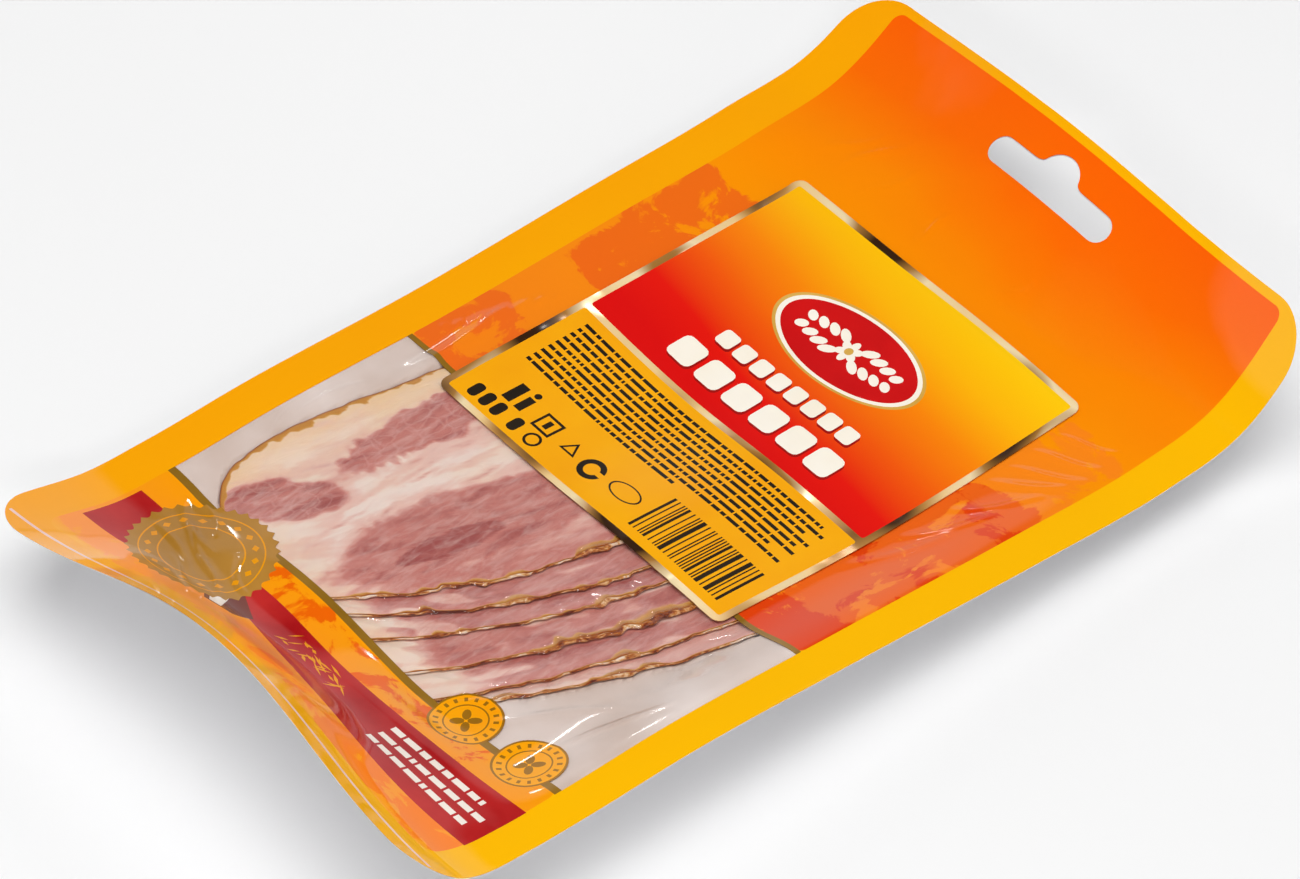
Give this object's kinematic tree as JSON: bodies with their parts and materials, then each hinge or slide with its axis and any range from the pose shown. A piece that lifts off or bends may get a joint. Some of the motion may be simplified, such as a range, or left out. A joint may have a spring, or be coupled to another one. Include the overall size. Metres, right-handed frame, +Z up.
{
  "type": "sliced bacon pack",
  "caption": "Flat sealed film pack of shingled sliced bacon with a clear window, a paper label and a hang slot, curled up at both ends.",
  "frame": {"origin": "on the surface that the pack lies on, under the middle of its outline", "axes": "+Y along the pack to the end with the hang slot, +X across it to the right as seen from the front film, +Z up through the front film"},
  "size_m": [0.125, 0.209, 0.0334],
  "materials": {
    "film": "glossy printed film with a clear window",
    "label_paper": "satin coated paper with a metallic edge line",
    "bacon": "moist cured pork, pink lean and white fat with a browned rind edge",
    "backing": "translucent white backing film"
  },
  "bodies": {
    "root": {"pack": "film", "label": "label_paper"}
  },
  "joints": []
}
